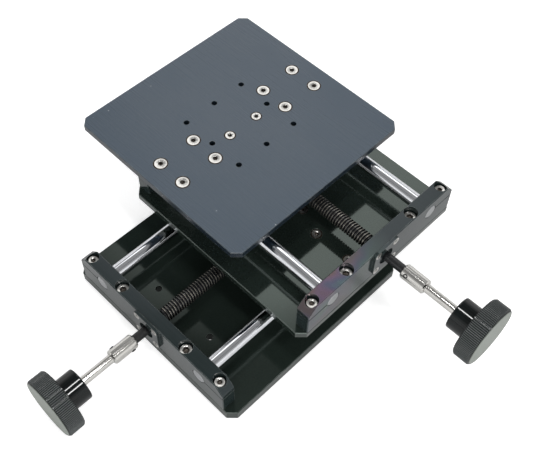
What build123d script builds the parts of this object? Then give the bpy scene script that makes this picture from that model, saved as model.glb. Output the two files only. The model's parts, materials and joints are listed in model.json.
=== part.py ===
from build123d import *
import os
from dataclasses import dataclass

# A manual two-axis translation stage. Each level is a plate with two end blocks, two round
# shafts and a lead screw. A carriage rides on the shafts and carries the next plate.
# Origin: centre of the base plate's bottom face. +Z is up. The lower level travels along Y
# and the upper one along X. Each carriage stands at the end of its travel, far from its knob.
# All sizes are in millimetres.

# End blocks
block_height = 25.0
block_thickness = 10.0
block_bevel = 0.5
block_end_cut = 6.0

# Plates, each a margin wider than the blocks on both sides
table_length = 150.0
table_margin = 7.5
table_thickness = 5.0
middle_margin = 5.0
middle_thickness = 5.0
base_margin = 7.5
base_thickness = 8.0
corner_cut = 5.0
plate_bevel = 0.4

# Travel of each carriage, and what is left over at each end of it
travel = 100.0
end_play = 0.5

# Clearances, measured on the radius
fit_gap = 0.02
running_gap = 0.05

# Shafts: how far in from the plate above's ends, and from the ends of their own blocks
shaft_diameter = 10.0
shaft_inset = 32.0
shaft_edge = 21.5
shaft_height = 15.0
shaft_chamfer = 0.6

# Clamp slits and the screws' seats in the blocks
slit_width = 1.0
clamp_edge = 7.5
clamp_bore = 8.5
clamp_seat_depth = 7.6
clamp_hole_depth = 21.5
fixing_inset = 16.0
fixing_bore = 9.2
fixing_seat_depth = 9.5

# Socket-head screws: thread, head and length
clamp_thread = 4.0
clamp_head = 7.0
clamp_head_height = 4.0
clamp_length = 12.0
fixing_thread = 5.0
fixing_head = 8.5
fixing_head_height = 5.0
fixing_length = 20.0
retainer_thread = 3.0
retainer_head = 5.5
retainer_length = 8.0

# Ball bearings of the lead screw
bearing_bore = 6.0
bearing_diameter = 17.0
bearing_width = 6.0
ring_wall = 1.6
shield_thickness = 0.4
shield_gap = 0.3

# Bearing retainer at the knob end, clip at the far end
retainer_side = 22.0
retainer_thickness = 2.0
retainer_hole = 12.0
retainer_corner = 3.0
retainer_pitch = 16.0
clip_thickness = 0.8
clip_diameter = 9.0
clip_groove = 5.0
clip_opening = 3.6
clip_space = 2.0

# Lead screw
screw_diameter = 10.0
screw_shoulder = 8.4
shoulder_hole = 12.0
screw_end_gap = 0.5
lower_journal_reach = 12.0
upper_journal_reach = 16.5

# Coupling, extension rod and knob
coupling_diameter = 10.0
coupling_length = 17.5
coupling_grip = 8.0
coupling_chamfer = 0.7
rod_diameter = 6.0
rod_reach = 23.0
set_thread = 3.0
set_inset = 4.0
set_depth_below = 0.2
set_rise = 0.4
hub_diameter = 21.5
hub_length = 13.0
hub_edge = 0.8
cap_diameter = 38.6
cap_thickness = 1.6
cap_edge = 0.4
disc_wall = 1.2
disc_length = 11.5
disc_edge = 0.7
knob_socket = 12.0

# Cases that hold the ball bushings, under each carriage plate
case_length = 35.0
case_width = 40.0
case_rise = 13.0
case_drop = 13.0
case_flange = 9.0
case_body_width = 27.0
case_corner = 5.0
case_bolt_end = 7.0
case_bolt_side = 6.0
case_thread_depth = 8.0
case_screw_thread = 5.0
case_screw_grip = 7.0
flat_head = 10.0

# Linear ball bushings and their retaining rings
bushing_diameter = 19.0
bushing_inset = 3.0
bushing_wall = 1.7
bushing_groove = 0.5
bushing_groove_width = 1.3
bushing_groove_inset = 3.5
ring_width = 1.0
ring_depth = 0.5
ring_height = 1.8
ring_opening = 5.0

# Nut housing and lead nut
nut_diameter = 14.0
nut_inset = 4.5
housing_length = 20.0
housing_width = 34.0
housing_flange = 9.0
housing_body_width = 22.0
housing_wall = 2.0
housing_corner = 3.0
housing_shift = 3.0
housing_bolt_side = 5.0
housing_thread_depth = 9.0
housing_screw_thread = 4.0
housing_screw_grip = 8.0
small_flat_head = 8.0

# Holes for the user's own fasteners
table_hole = 4.0
table_pitch = 25.0
base_hole = 4.5
base_pitch_x = 50.0
base_pitch_y = 100.0

plate_length = travel + case_length + 2 * (block_thickness + end_play)
plate_end = plate_length / 2
shaft_spacing = plate_length - 2 * shaft_inset
block_width = shaft_spacing + 2 * shaft_edge
fixing_spacing = shaft_spacing - 2 * fixing_inset
clamp_spacing = block_width - 2 * clamp_edge
table_width = block_width + 2 * table_margin
middle_width = block_width + 2 * middle_margin
base_width = block_width + 2 * base_margin
case_bolt_along = case_length - 2 * case_bolt_end
case_bolt_across = case_width - 2 * case_bolt_side
bushing_length = case_length - 2 * bushing_inset
bushing_groove_pitch = bushing_length - 2 * bushing_groove_inset
nut_length = case_length - 2 * nut_inset
housing_bolt_across = housing_width - 2 * housing_bolt_side
disc_diameter = cap_diameter + 2 * disc_wall
carriage_height = shaft_height + case_rise
rest_along = -travel / 2


@dataclass(frozen=True)
class Level:
    """One level of the stage: a name, and a plane on its plate's top face."""

    name: str
    top: Plane
    set_angle: float
    journal_reach: float

    @property
    def coupling_start(self):
        """Where the coupling begins, along the travel."""
        return plate_end + self.journal_reach

    @property
    def coupling_end(self):
        """Where the coupling ends."""
        return self.coupling_start + coupling_length

    @property
    def hub_start(self):
        """Where the knob's hub begins."""
        return self.coupling_end + rod_reach

    @property
    def disc_start(self):
        """Where the knob's disc begins."""
        return self.hub_start + hub_length

    @property
    def knob_front(self):
        """The front of the knob."""
        return self.disc_start + disc_length

    def at(self, along=0.0, across=0.0, height=0.0):
        """A point, by its distances along the travel towards the knob, across it and up."""
        return self.top.from_local_coords(Vector(along, across, height))

    def flat(self, height=0.0, along=0.0, across=0.0):
        """A level plane, x towards the knob and y across the travel."""
        return Plane(self.at(along, across, height), self.top.x_dir, self.top.z_dir)

    def facing(self, along=0.0, across=0.0, height=0.0):
        """An upright plane square to the travel, x across it and y up."""
        return Plane(self.at(along, across, height), self.top.y_dir, self.top.x_dir)

    def side(self, across=0.0, height=0.0):
        """An upright plane along the travel, x towards the knob and y up."""
        return Plane(self.at(0, across, height), self.top.x_dir, -self.top.y_dir)

    def line(self, across=0.0, height=0.0):
        """A line along the travel."""
        return Axis(self.at(0, across, height), self.top.x_dir)

    def spoke(self, along, turn):
        """A plane on the screw's line whose normal points out of it, turned from upright."""
        up = self.facing(along, 0, shaft_height)
        out = up.y_dir.rotate(Axis((0, 0, 0), self.top.x_dir), turn)
        return Plane(up.origin, self.top.x_dir, out)


lower_top = Plane((0, 0, base_thickness), (0, -1, 0), (0, 0, 1))
lower = Level("lower", lower_top, -110.0, lower_journal_reach)
upper_origin = lower.at(rest_along, 0, carriage_height + middle_thickness)
upper_top = Plane(upper_origin, (1, 0, 0), (0, 0, 1))
upper = Level("upper", upper_top, 60.0, upper_journal_reach)

os.makedirs("parts", exist_ok=True)


def save(piece, name):
    """Label a finished piece and write it."""
    piece.part.label = name
    export_step(piece.part, f"parts/{name}.step")


def pair(spacing):
    """Two places, on each side of the middle of the level."""
    return [(0, spacing / 2), (0, -spacing / 2)]


def one_case_bolts():
    """The places of the four screws that hold one bushing case, from its middle."""
    return [
        (x, y)
        for x in (-case_bolt_along / 2, case_bolt_along / 2)
        for y in (-case_bolt_across / 2, case_bolt_across / 2)
    ]


def case_bolts():
    """The places of the screws that hold the two bushing cases."""
    shafts = (-shaft_spacing / 2, shaft_spacing / 2)
    return [(x, y + shaft) for x, y in one_case_bolts() for shaft in shafts]


def housing_bolts():
    """The places of the screws that hold the nut housing."""
    return [(housing_shift, y) for _, y in pair(housing_bolt_across)]


# Plates


def blank(plane, length, width, thickness):
    """A plate with cut corners and lightly bevelled edges, below a plane."""
    with BuildPart() as plate:
        with BuildSketch(plane) as outline:
            Rectangle(length, width)
            chamfer(outline.vertices(), corner_cut)
        extrude(amount=-thickness)
        rims = plate.faces().filter_by(Axis.Z).edges()
        chamfer(rims, plate_bevel)
    return plate


def drill(plane, places, diameter, depth):
    """Plain holes down from a plane, in the part being built."""
    with BuildSketch(plane) as holes:
        with Locations(*places):
            Circle(diameter / 2)
    extrude(holes.sketch, amount=-depth, mode=Mode.SUBTRACT)


def block_screw_places():
    """The places of the four screws that hold the end blocks down."""
    along = (plate_length - block_thickness) / 2
    return [(end * along, y) for end in (-1, 1) for _, y in pair(fixing_spacing)]


def make_base_plate():
    """The base plate, with its four mounting holes."""
    mounting = [
        (x * base_pitch_y / 2, y * base_pitch_x / 2) for x in (-1, 1) for y in (-1, 1)
    ]
    with BuildPart() as plate:
        add(blank(lower.flat(), plate_length, base_width, base_thickness).part)
        drill(lower.flat(), block_screw_places(), fixing_thread + 2 * fit_gap, base_thickness)
        drill(lower.flat(), mounting, base_hole, base_thickness)
    save(plate, "base_plate")


def make_middle_plate():
    """The middle plate: the carriage of the lower level and the bed of the upper one."""
    lower_carriage = lower.flat(carriage_height + middle_thickness, rest_along)
    with BuildPart() as plate:
        add(blank(upper.flat(), plate_length, middle_width, middle_thickness).part)
        drill(upper.flat(), block_screw_places(), fixing_thread + 2 * fit_gap, middle_thickness)
        with Locations(lower_carriage.location):
            with Locations(*case_bolts()):
                CounterSinkHole(
                    radius=case_screw_thread / 2 + fit_gap,
                    counter_sink_radius=small_flat_head / 2,
                    depth=middle_thickness,
                    counter_sink_angle=90,
                )
            with Locations(*housing_bolts()):
                CounterSinkHole(
                    radius=housing_screw_thread / 2 + fit_gap,
                    counter_sink_radius=small_flat_head / 2,
                    depth=middle_thickness,
                    counter_sink_angle=90,
                )
    save(plate, "middle_plate")


def make_table_plate():
    """The table, with tapped holes on a square grid that skips its middle."""
    top = upper.flat(carriage_height + table_thickness, rest_along)
    steps = (-table_pitch, 0, table_pitch)
    grid = [(x, y) for x in steps for y in steps if (x, y) != (0, 0)]
    with BuildPart() as plate:
        add(blank(top, table_length, table_width, table_thickness).part)
        drill(top, grid, table_hole, table_thickness)
        with Locations(top.location):
            with Locations(*case_bolts()):
                CounterSinkHole(
                    radius=case_screw_thread / 2 + fit_gap,
                    counter_sink_radius=flat_head / 2,
                    depth=table_thickness,
                    counter_sink_angle=90,
                )
            with Locations(*housing_bolts()):
                CounterSinkHole(
                    radius=housing_screw_thread / 2 + fit_gap,
                    counter_sink_radius=small_flat_head / 2,
                    depth=table_thickness,
                    counter_sink_angle=90,
                )
    save(plate, "table_plate")


# Screws


def cap_screws(plane, places, thread, head, head_height, length):
    """Socket-head screws: heads on a plane, shanks below it."""
    with BuildPart() as screws:
        with BuildSketch(plane):
            with Locations(*places):
                Circle(head / 2)
        extrude(amount=head_height)
        with BuildSketch(plane):
            with Locations(*places):
                Circle(thread / 2)
        extrude(amount=-length)
    return screws


def flat_screws(plane, places, thread, head, length):
    """Countersunk screws, heads flush with a plane."""
    cone = (head - thread) / 2
    with BuildPart() as screws:
        with BuildSketch(plane):
            with Locations(*places):
                Circle(head / 2 - fit_gap)
        extrude(amount=-cone, taper=45)
        with BuildSketch(plane.offset(-cone / 2)):
            with Locations(*places):
                Circle(thread / 2)
        extrude(amount=cone / 2 - length)
    return screws


# End blocks, shafts and their screws


def end_block(level, end, seat_depth):
    """An end block: clamped shaft bores, a bearing seat, and screws from above."""
    outer = level.facing(end * plate_end)
    inward = -end * block_thickness
    shafts = [(-shaft_spacing / 2, shaft_height), (shaft_spacing / 2, shaft_height)]
    slits = [(s * (block_width - shaft_edge) / 2, shaft_height) for s in (-1, 1)]
    with BuildPart() as block:
        with BuildSketch(outer) as outline:
            with Locations((0, block_height / 2)):
                Rectangle(block_width, block_height)
            chamfer(outline.vertices().group_by(Axis.Y)[-1], block_end_cut)
        extrude(amount=inward)
        chamfer(block.edges(), block_bevel)
        with BuildSketch(outer):
            with Locations(*shafts):
                Circle(shaft_diameter / 2 + fit_gap)
            with Locations(*slits):
                Rectangle(shaft_edge, slit_width)
            with Locations((0, shaft_height)):
                Circle(shoulder_hole / 2)
        extrude(amount=inward, mode=Mode.SUBTRACT)
        with BuildSketch(outer):
            with Locations((0, shaft_height)):
                Circle(bearing_diameter / 2 + fit_gap)
        extrude(amount=-end * seat_depth, mode=Mode.SUBTRACT)
        with Locations(block_top(level, end).location):
            with Locations(*pair(fixing_spacing)):
                CounterBoreHole(
                    radius=fixing_thread / 2 + fit_gap,
                    counter_bore_radius=fixing_bore / 2,
                    counter_bore_depth=fixing_seat_depth,
                    depth=block_height,
                )
            with Locations(*pair(clamp_spacing)):
                CounterBoreHole(
                    radius=clamp_thread / 2 + fit_gap,
                    counter_bore_radius=clamp_bore / 2,
                    counter_bore_depth=clamp_seat_depth,
                    depth=clamp_hole_depth,
                )
    return block


def block_top(level, end):
    """The level plane on an end block's top face, at the middle of the block."""
    return level.flat(block_height, end * (plate_end - block_thickness / 2))


def retainer_places():
    """The places of the four retainer screws, on an upright plane at the plate's top."""
    half = retainer_pitch / 2
    return [(x, shaft_height + y) for x in (-half, half) for y in (-half, half)]


def make_blocks(level):
    """Both end blocks of a level."""
    with BuildPart() as front:
        add(end_block(level, 1, bearing_width).part)
        with BuildSketch(level.facing(plate_end)):
            with Locations(*retainer_places()):
                Circle(retainer_thread / 2 + fit_gap)
        extrude(amount=retainer_thickness - retainer_length, mode=Mode.SUBTRACT)
    save(front, f"{level.name}_front_block")
    rear = end_block(level, -1, bearing_width + clip_space)
    save(rear, f"{level.name}_rear_block")


def make_shafts(level):
    """The two guide shafts of a level."""
    for word, across in (("left", -shaft_spacing / 2), ("right", shaft_spacing / 2)):
        with BuildPart() as shaft:
            with BuildSketch(level.facing(-plate_end, across, shaft_height)):
                Circle(shaft_diameter / 2)
            extrude(amount=plate_length)
            chamfer(shaft.edges().filter_by(GeomType.CIRCLE), shaft_chamfer)
        save(shaft, f"{level.name}_{word}_shaft")


def make_block_screws(level):
    """The screws that hold the blocks down, and those that close the clamp slits."""
    with BuildPart() as fixings:
        for end in (-1, 1):
            seat = block_top(level, end).offset(-fixing_seat_depth)
            add(
                cap_screws(
                    seat,
                    pair(fixing_spacing),
                    fixing_thread,
                    fixing_head,
                    fixing_head_height,
                    fixing_length,
                ).part
            )
    save(fixings, f"{level.name}_block_screws")
    with BuildPart() as clamps:
        for end in (-1, 1):
            seat = block_top(level, end).offset(-clamp_seat_depth)
            add(
                cap_screws(
                    seat,
                    pair(clamp_spacing),
                    clamp_thread,
                    clamp_head,
                    clamp_head_height,
                    clamp_length,
                ).part
            )
    save(clamps, f"{level.name}_clamp_screws")


# Bearings of the lead screw


def ring(level, outline, across=0.0):
    """A turned piece about a line along the travel, from points (along, radius)."""
    with BuildPart() as piece:
        with BuildSketch(level.side(across, shaft_height)):
            with BuildLine():
                Polyline(*outline, close=True)
            make_face()
        revolve(axis=level.line(across, shaft_height))
    return piece


def bearing_starts():
    """Where each bearing of the lead screw begins, along the travel."""
    front = plate_end - bearing_width
    rear = -plate_end + clip_space
    return (("front", front), ("rear", rear))


def make_bearings(level):
    """The shielded outer rings, one in each block, and the inner rings on the screw."""
    outer = bearing_diameter / 2
    bore = bearing_bore / 2
    lip = bore + ring_wall + shield_gap
    race = outer - ring_wall
    for word, start in bearing_starts():
        stop = start + bearing_width
        outline = [
            (start, lip),
            (start, outer),
            (stop, outer),
            (stop, lip),
            (stop - shield_thickness, lip),
            (stop - shield_thickness, race),
            (start + shield_thickness, race),
            (start + shield_thickness, lip),
        ]
        save(ring(level, outline), f"{level.name}_{word}_bearing")
    with BuildPart() as inner:
        for _, start in bearing_starts():
            stop = start + bearing_width
            low = bore + fit_gap
            high = bore + ring_wall
            outline = [(start, low), (start, high), (stop, high), (stop, low)]
            add(ring(level, outline).part)
    save(inner, f"{level.name}_bearing_inner_rings")


def make_retainer(level):
    """The plate that holds the front bearing in, and its four screws."""
    face = level.facing(plate_end)
    front = face.offset(retainer_thickness)
    with BuildPart() as retainer:
        with BuildSketch(face):
            with Locations((0, shaft_height)):
                RectangleRounded(retainer_side, retainer_side, retainer_corner)
                Circle(retainer_hole / 2, mode=Mode.SUBTRACT)
        extrude(amount=retainer_thickness)
        with Locations(front.location):
            with Locations(*retainer_places()):
                CounterSinkHole(
                    radius=retainer_thread / 2 + fit_gap,
                    counter_sink_radius=retainer_head / 2,
                    depth=retainer_thickness,
                    counter_sink_angle=90,
                )
    save(retainer, f"{level.name}_bearing_retainer")
    places = retainer_places()
    screws = flat_screws(front, places, retainer_thread, retainer_head, retainer_length)
    save(screws, f"{level.name}_retainer_screws")


# Lead screw, coupling, rod and knob


def make_lead_screw(level):
    """The lead screw, with a journal in each bearing, and its clip."""
    thread = screw_diameter / 2
    journal = bearing_bore / 2
    shoulder = screw_shoulder / 2
    groove = clip_groove / 2
    thread_end = plate_end - block_thickness - screw_end_gap
    front = plate_end - bearing_width
    rear = -plate_end + clip_space
    rear_inner = rear + bearing_width
    tip = -plate_end + clip_space - 2 * clip_thickness
    outline = [
        (tip, 0),
        (tip, journal),
        (rear - clip_thickness - fit_gap, journal),
        (rear - clip_thickness - fit_gap, groove),
        (rear, groove),
        (rear, journal),
        (rear_inner, journal),
        (rear_inner, shoulder),
        (-thread_end, shoulder),
        (-thread_end, thread),
        (thread_end, thread),
        (thread_end, shoulder),
        (front, shoulder),
        (front, journal),
        (level.coupling_start + coupling_grip, journal),
        (level.coupling_start + coupling_grip, 0),
    ]
    save(ring(level, outline), f"{level.name}_lead_screw")
    with BuildPart() as clip:
        with BuildSketch(level.facing(rear, 0, shaft_height)):
            Circle(clip_diameter / 2)
            Circle(groove + fit_gap, mode=Mode.SUBTRACT)
            with Locations((0, -clip_diameter / 2)):
                Rectangle(clip_opening, clip_diameter, mode=Mode.SUBTRACT)
        extrude(amount=-clip_thickness)
    save(clip, f"{level.name}_screw_clip")


def set_screw_places(level):
    """Each set screw: its place along the travel, its turn and how far out it stands."""
    surface = coupling_diameter / 2 + set_rise
    return (
        (level.coupling_start + set_inset, 0.0, surface),
        (level.coupling_end - set_inset, 180.0, surface),
        (level.hub_start + hub_length / 2, 180.0, hub_diameter / 2 - set_depth_below),
    )


def set_hole(level, along, turn, reach):
    """A radial hole for a set screw, in the part being built."""
    with BuildSketch(level.spoke(along, level.set_angle + turn)) as hole:
        Circle(set_thread / 2 + fit_gap)
    extrude(hole.sketch, amount=reach, mode=Mode.SUBTRACT)


def make_coupling(level):
    """The coupling between the screw's journal and the extension rod."""
    radius = coupling_diameter / 2
    bore = bearing_bore / 2 + fit_gap
    cut = coupling_chamfer
    start = level.coupling_start
    stop = level.coupling_end
    outline = [
        (start, bore),
        (start, radius - cut),
        (start + cut, radius),
        (stop - cut, radius),
        (stop, radius - cut),
        (stop, bore),
    ]
    with BuildPart() as coupling:
        add(ring(level, outline).part)
        for along, turn, _ in set_screw_places(level)[:2]:
            set_hole(level, along, turn, coupling_diameter)
    save(coupling, f"{level.name}_coupling")


def make_rod(level):
    """The extension rod, from the coupling into the knob."""
    radius = rod_diameter / 2
    start = level.coupling_end - coupling_grip
    stop = level.hub_start + knob_socket
    outline = [(start, 0), (start, radius), (stop, radius), (stop, 0)]
    save(ring(level, outline), f"{level.name}_rod")


def make_knob(level):
    """The knob: a hub, a disc and a recess for its cap."""
    hub = hub_diameter / 2
    disc = disc_diameter / 2
    socket = rod_diameter / 2 + fit_gap
    back = level.hub_start
    step = level.disc_start
    front = level.knob_front
    recess = front - cap_thickness + cap_edge
    outline = [
        (back, socket),
        (back, hub - hub_edge),
        (back + hub_edge, hub),
        (step, hub),
        (step, disc - disc_edge),
        (step + disc_edge, disc),
        (front - disc_edge, disc),
        (front, disc - disc_edge),
        (front, cap_diameter / 2 + fit_gap),
        (recess, cap_diameter / 2 + fit_gap),
        (recess, 0),
        (back + knob_socket, 0),
        (back + knob_socket, socket),
    ]
    with BuildPart() as knob:
        add(ring(level, outline).part)
        along, turn, _ = set_screw_places(level)[2]
        set_hole(level, along, turn, disc_diameter)
    save(knob, f"{level.name}_knob")
    cap_radius = cap_diameter / 2
    cap_outline = [
        (recess, 0),
        (recess, cap_radius),
        (recess + cap_thickness - cap_edge, cap_radius),
        (recess + cap_thickness, cap_radius - cap_edge),
        (recess + cap_thickness, 0),
    ]
    save(ring(level, cap_outline), f"{level.name}_knob_cap")


def make_set_screws(level):
    """The set screws of the coupling and the knob."""
    with BuildPart() as screws:
        for along, turn, surface in set_screw_places(level):
            spoke = level.spoke(along, level.set_angle + turn)
            seat = bearing_bore / 2 + fit_gap
            with BuildSketch(spoke.offset(seat)):
                Circle(set_thread / 2)
            extrude(amount=surface - seat)
    save(screws, f"{level.name}_set_screws")


# Carriage: bushing cases, bushings, nut housing and nut


def make_cases(level):
    """The two cases that hang under a carriage plate, one on each shaft."""
    top = case_rise + shaft_height
    bottom = shaft_height - case_drop
    for word, across in (("left", -shaft_spacing / 2), ("right", shaft_spacing / 2)):
        face = level.facing(rest_along - case_length / 2, across)
        half = case_width / 2
        body = case_body_width / 2
        ledge = top - case_flange
        reach = (bushing_length + ring_width) / 2
        grooves = [
            level.facing(rest_along + s * reach, across, shaft_height) for s in (-1, 1)
        ]
        with BuildPart() as case:
            with BuildSketch(face):
                with BuildLine():
                    Polyline(
                        (-half, top),
                        (half, top),
                        (half, ledge),
                        (body, ledge),
                        (body, bottom + case_corner),
                        (body - case_corner, bottom),
                        (case_corner - body, bottom),
                        (-body, bottom + case_corner),
                        (-body, ledge),
                        (-half, ledge),
                        close=True,
                    )
                make_face()
                with Locations((0, shaft_height)):
                    Circle(bushing_diameter / 2 + fit_gap, mode=Mode.SUBTRACT)
            extrude(amount=case_length)
            for groove in grooves:
                with BuildSketch(groove):
                    Circle(bushing_diameter / 2 + ring_depth + fit_gap)
                extrude(amount=ring_width / 2 + fit_gap, both=True, mode=Mode.SUBTRACT)
            drill(
                level.flat(carriage_height, rest_along, across),
                one_case_bolts(),
                case_screw_thread + 2 * fit_gap,
                case_thread_depth,
            )
        save(case, f"{level.name}_{word}_case")


def make_bushings(level):
    """The ball bushings: hard sleeves with grooves, cages with ball tracks, and rings."""
    half = bushing_length / 2
    outer = bushing_diameter / 2
    inner = outer - bushing_wall
    groove = bushing_groove_width / 2
    centre = bushing_groove_pitch / 2
    bore = shaft_diameter / 2 + running_gap
    with BuildPart() as sleeves:
        for _, across in pair(shaft_spacing):
            outline = [(-half, inner), (-half, outer)]
            for place in (-centre, centre):
                outline += [
                    (place - groove, outer),
                    (place - groove, outer - bushing_groove),
                    (place + groove, outer - bushing_groove),
                    (place + groove, outer),
                ]
            outline += [(half, outer), (half, inner)]
            moved = [(rest_along + x, r) for x, r in outline]
            add(ring(level, moved, across).part)
    save(sleeves, f"{level.name}_bushing_sleeves")
    with BuildPart() as cages:
        for _, across in pair(shaft_spacing):
            start = rest_along - half
            stop = rest_along + half
            low = bore
            high = inner - fit_gap
            outline = [(start, low), (start, high), (stop, high), (stop, low)]
            add(ring(level, outline, across).part)
    save(cages, f"{level.name}_bushing_cages")
    with BuildPart() as rings:
        for _, across in pair(shaft_spacing):
            for s in (-1, 1):
                face = level.facing(rest_along + s * half, across, shaft_height)
                with BuildSketch(face):
                    Circle(outer + ring_depth)
                    Circle(outer + ring_depth - ring_height, mode=Mode.SUBTRACT)
                    with Locations((0, -outer)):
                        Rectangle(ring_opening, outer, mode=Mode.SUBTRACT)
                extrude(amount=s * ring_width)
    save(rings, f"{level.name}_bushing_rings")


def make_nut(level):
    """The nut housing that hangs under a carriage plate, and the lead nut in it."""
    top = carriage_height
    bottom = shaft_height - nut_diameter / 2 - housing_wall
    half = housing_width / 2
    body = housing_body_width / 2
    ledge = top - housing_flange
    centre = rest_along + housing_shift
    with BuildPart() as housing:
        with BuildSketch(level.facing(centre - housing_length / 2)):
            with BuildLine():
                Polyline(
                    (-half, top),
                    (half, top),
                    (half, ledge),
                    (body, ledge),
                    (body, bottom + housing_corner),
                    (body - housing_corner, bottom),
                    (housing_corner - body, bottom),
                    (-body, bottom + housing_corner),
                    (-body, ledge),
                    (-half, ledge),
                    close=True,
                )
            make_face()
            with Locations((0, shaft_height)):
                Circle(nut_diameter / 2 + fit_gap, mode=Mode.SUBTRACT)
        extrude(amount=housing_length)
        drill(
            level.flat(carriage_height, rest_along),
            housing_bolts(),
            housing_screw_thread + 2 * fit_gap,
            housing_thread_depth,
        )
    save(housing, f"{level.name}_nut_housing")
    with BuildPart() as nut:
        with BuildSketch(level.facing(centre - nut_length / 2, 0, shaft_height)):
            Circle(nut_diameter / 2)
            Circle(screw_diameter / 2 + running_gap, mode=Mode.SUBTRACT)
        extrude(amount=nut_length)
    save(nut, f"{level.name}_lead_nut")


def make_carriage_screws():
    """The screws through the middle plate and the table, into what hangs below them."""
    middle_top = lower.flat(carriage_height + middle_thickness, rest_along)
    table_top = upper.flat(carriage_height + table_thickness, rest_along)
    large = flat_screws(
        middle_top,
        case_bolts(),
        case_screw_thread,
        small_flat_head,
        middle_thickness + case_screw_grip,
    )
    save(large, "middle_plate_screws")
    small = flat_screws(
        middle_top,
        housing_bolts(),
        housing_screw_thread,
        small_flat_head,
        middle_thickness + housing_screw_grip,
    )
    save(small, "middle_nut_screws")
    large = flat_screws(
        table_top,
        case_bolts(),
        case_screw_thread,
        flat_head,
        table_thickness + case_screw_grip,
    )
    save(large, "table_screws")
    small = flat_screws(
        table_top,
        housing_bolts(),
        housing_screw_thread,
        small_flat_head,
        table_thickness + housing_screw_grip,
    )
    save(small, "table_nut_screws")


make_base_plate()
make_middle_plate()
make_table_plate()
make_carriage_screws()
for level in (lower, upper):
    make_blocks(level)
    make_shafts(level)
    make_block_screws(level)
    make_bearings(level)
    make_retainer(level)
    make_lead_screw(level)
    make_coupling(level)
    make_rod(level)
    make_knob(level)
    make_set_screws(level)
    make_cases(level)
    make_bushings(level)
    make_nut(level)
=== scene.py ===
"""Looks of a two-axis translation stage: finishes, threads, knurls, sockets, light and camera."""

import json
import logging
import math
from dataclasses import dataclass, field
from enum import Enum
from typing import Any, Callable

import bmesh
import bpy
from mathutils import Matrix, Vector


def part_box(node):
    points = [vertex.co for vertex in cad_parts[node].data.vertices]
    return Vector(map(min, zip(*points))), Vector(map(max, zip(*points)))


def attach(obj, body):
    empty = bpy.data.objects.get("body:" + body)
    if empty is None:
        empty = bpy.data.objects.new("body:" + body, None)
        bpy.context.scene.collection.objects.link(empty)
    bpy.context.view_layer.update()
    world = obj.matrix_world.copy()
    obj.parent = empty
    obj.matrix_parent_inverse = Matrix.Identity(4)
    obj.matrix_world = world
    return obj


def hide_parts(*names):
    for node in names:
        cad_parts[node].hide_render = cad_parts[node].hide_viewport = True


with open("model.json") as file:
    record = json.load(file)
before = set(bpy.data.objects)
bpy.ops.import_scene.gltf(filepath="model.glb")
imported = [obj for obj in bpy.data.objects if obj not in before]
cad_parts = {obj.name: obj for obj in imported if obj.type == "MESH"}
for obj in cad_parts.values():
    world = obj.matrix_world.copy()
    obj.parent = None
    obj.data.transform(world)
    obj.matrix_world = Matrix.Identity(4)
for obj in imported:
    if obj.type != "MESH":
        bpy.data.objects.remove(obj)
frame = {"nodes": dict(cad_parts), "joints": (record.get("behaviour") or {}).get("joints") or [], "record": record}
log = logging.getLogger("stage")
MM = 0.001
SOCKETS = {float: "Float", int: "Int", tuple: "Color"}
BLACK = (0.0, 0.0, 0.0)
DUST_TONE = (0.62, 0.64, 0.66)
CLOUD_CONTRAST = 1.2
LINE_DEPTH = 0.00004
Tone = tuple[float, float, float]
Outline = list[tuple[float, float]]


class Hold(Enum):
    """How a screw sits in the piece that it holds."""

    CAP = "cap"
    FLUSH = "flush"
    GRUB = "grub"


# Node trees


@dataclass
class Graph:
    """A node tree, with short ways to add nodes to it and to join them."""

    tree: bpy.types.NodeTree

    def add(self, kind: str, inputs: dict | None = None, **options: Any) -> bpy.types.Node:
        """Add a node.

        Args:
            kind: Blender's name for the kind of node.
            inputs: A value or a socket for each input, by its name or place.
            options: The node's own settings.

        Returns:
            The new node.
        """
        node = self.tree.nodes.new(kind)
        for name, value in options.items():
            setattr(node, name, value)
        self.feed(node, inputs or {})
        return node

    def feed(self, node: bpy.types.Node, inputs: dict) -> None:
        """Set a node's inputs, or join sockets to them.

        Args:
            node: The node.
            inputs: A value or a socket for each input, by its name or place.
        """
        for key, value in inputs.items():
            if isinstance(value, bpy.types.NodeSocket):
                self.tree.links.new(value, node.inputs[key])
            else:
                node.inputs[key].default_value = value

    def use(self, effect: bpy.types.NodeTree, inputs: dict) -> bpy.types.Node:
        """Place a shared effect, with a value or a socket for each of its inputs."""
        return self.add("ShaderNodeGroup", node_tree=effect, inputs=inputs)

    def math(self, operation: str, first: Any, second: Any = 0.0) -> bpy.types.NodeSocket:
        """Add a sum on one or two values or sockets, by Blender's name for it."""
        return self.add("ShaderNodeMath", {0: first, 1: second}, operation=operation).outputs[0]

    def spread(self, value: Any, low: float, high: float, to_low: float, to_high: float) -> bpy.types.NodeSocket:
        """Map a value from one range to another, held at both ends."""
        places = {"Value": value, "From Min": low, "From Max": high, "To Min": to_low, "To Max": to_high}
        return self.add("ShaderNodeMapRange", places).outputs[0]

    def blend(self, amount: Any, first: Any, second: Any) -> bpy.types.NodeSocket:
        """Mix two colours, from the first at amount 0 to the second at 1."""
        first, second = (c if isinstance(c, bpy.types.NodeSocket) else (*c, 1.0) for c in (first, second))
        return self.add("ShaderNodeMix", {0: amount, 6: first, 7: second}, data_type="RGBA").outputs[2]


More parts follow.
